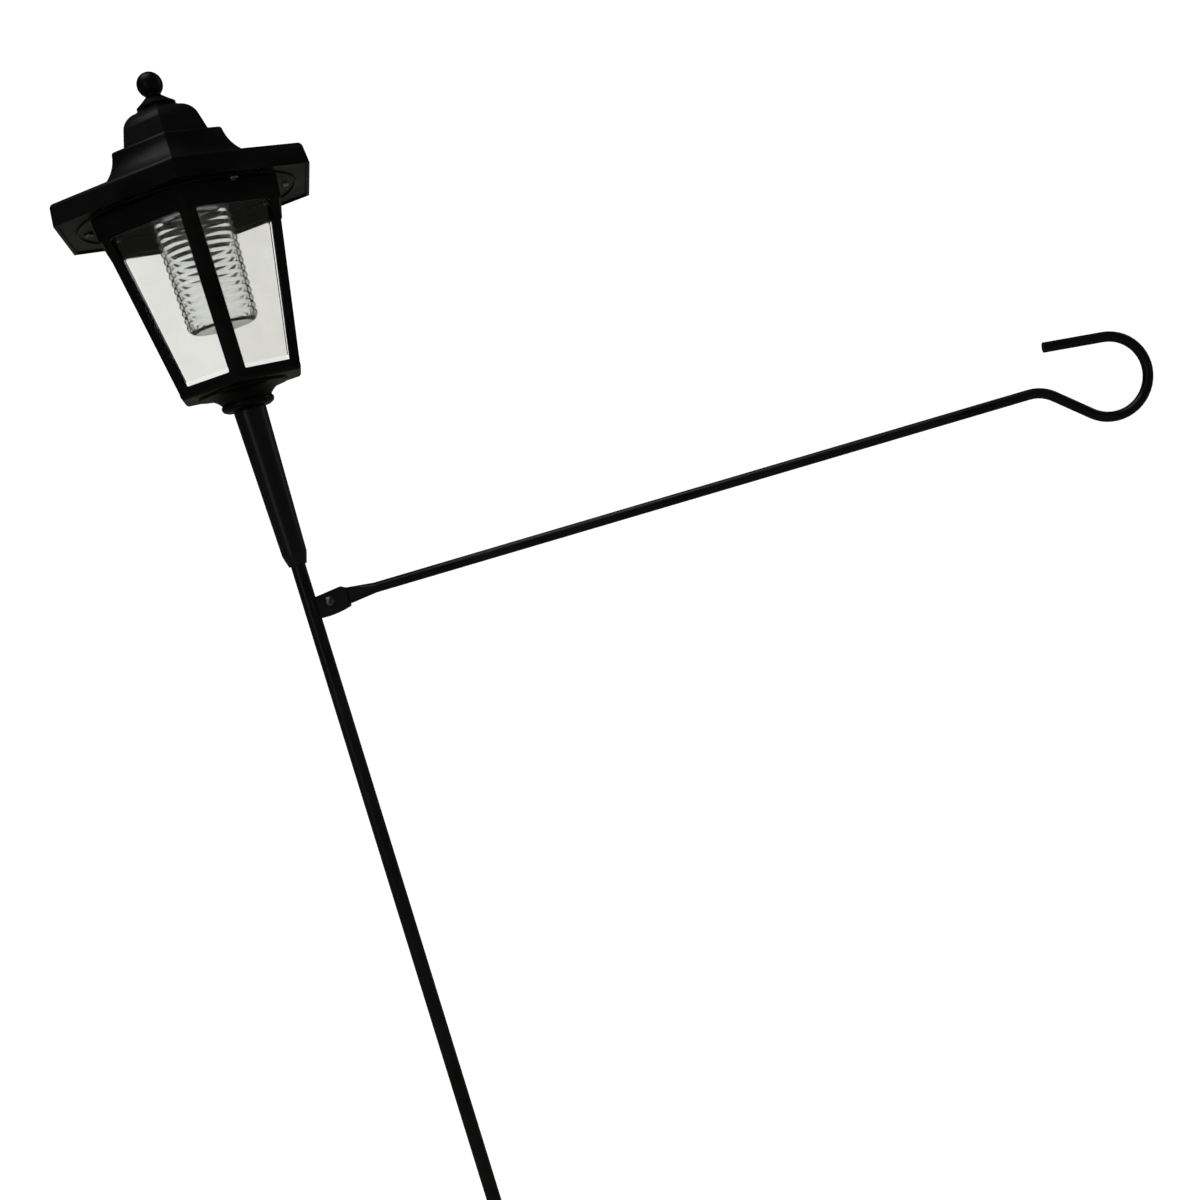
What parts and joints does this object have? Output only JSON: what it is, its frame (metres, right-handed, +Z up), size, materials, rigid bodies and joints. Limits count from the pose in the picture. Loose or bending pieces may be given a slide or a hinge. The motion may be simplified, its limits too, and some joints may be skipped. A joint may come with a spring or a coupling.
{
  "type": "solar garden light",
  "caption": "Black six-sided solar lantern on a slim sectional garden stake, with a folding hooked flag arm, clear windows and a ribbed hanging light tube.",
  "frame": {"origin": "on the pole's axis at ground level, where the round spike below the pole begins", "axes": "+Z up the pole, +X out along the flag arm"},
  "size_m": [0.4813, 0.1328, 1.1995],
  "materials": {
    "black_steel": "black powder coat, satin",
    "rivet_steel": "plated, slightly worn",
    "zinc_steel": "zinc plated",
    "gloss_black": "glossy black",
    "satin_black": "satin black",
    "nylon_grey": "matt nylon",
    "white_plastic": "white",
    "clear_plastic": "clear, ribbed",
    "clear_pane": "clear",
    "gasket_rubber": "matt",
    "board_green": "solder mask",
    "led_epoxy": "tinted epoxy",
    "chip_black": "moulded",
    "cell_green": "plain shrink wrap",
    "contact_brass": "bright",
    "slider_grey": "matt",
    "lead_red": "insulated wire",
    "solar_blue": "dark blue cell under clear resin"
  },
  "bodies": {
    "stand": {"pole_upper": "black_steel", "pole_middle": "black_steel", "ground_spike": "black_steel", "step_prong": "black_steel", "arm_bracket": "black_steel", "weld_beads": "black_steel", "arm_rivet": "rivet_steel"},
    "arm": {"flag_arm": "black_steel"},
    "sleeve": {"post_sleeve": "gloss_black", "sleeve_bush": "nylon_grey", "swivel_washer": "zinc_steel", "swivel_screw": "zinc_steel"},
    "lantern": {"lantern_base": "satin_black", "cage": "satin_black", "floor_cover": "satin_black", "roof_plate": "satin_black", "roof_shell": "satin_black", "finial": "satin_black", "finial_nut": "zinc_steel", "base_screws": "zinc_steel", "cage_screws": "zinc_steel", "roof_screws": "zinc_steel", "board_screws": "zinc_steel", "light_tube": "clear_plastic", "tube_gasket": "gasket_rubber", "reflector": "white_plastic", "circuit_board": "board_green", "led": "led_epoxy", "control_chip": "chip_black", "battery_cradle": "satin_black", "battery": "cell_green", "contact_plate": "contact_brass", "contact_spring": "contact_brass", "switch_body": "chip_black", "switch_leads": "lead_red", "solar_leads": "lead_red", "window_pane_1": "clear_pane", "solar_cell_1": "solar_blue", "window_pane_2": "clear_pane", "solar_cell_2": "solar_blue", "window_pane_3": "clear_pane", "solar_cell_3": "solar_blue", "window_pane_4": "clear_pane", "solar_cell_4": "solar_blue", "window_pane_5": "clear_pane", "solar_cell_5": "solar_blue", "window_pane_6": "clear_pane", "solar_cell_6": "solar_blue"},
    "switch": {"switch_slider": "slider_grey"}
  },
  "joints": [
    {"name": "arm_fold", "type": "hinge", "parent": "stand", "child": "arm", "pos_m": [0.0095, 0, 0.76], "axis": [0, -1, 0], "range_deg": [0, 70]},
    {"name": "lantern_lift", "type": "slide", "parent": "stand", "child": "sleeve", "axis": [0, 0, 1], "range_m": [0, 0.05]},
    {"name": "lantern_swivel", "type": "hinge", "parent": "sleeve", "child": "lantern", "pos_m": [0, 0, 0.862], "axis": [0, 0, 1], "continuous": true},
    {"name": "switch_slide", "type": "slide", "parent": "lantern", "child": "switch", "axis": [-0.1564, 0.9877, 0], "range_m": [0, 0.0024]}
  ]
}
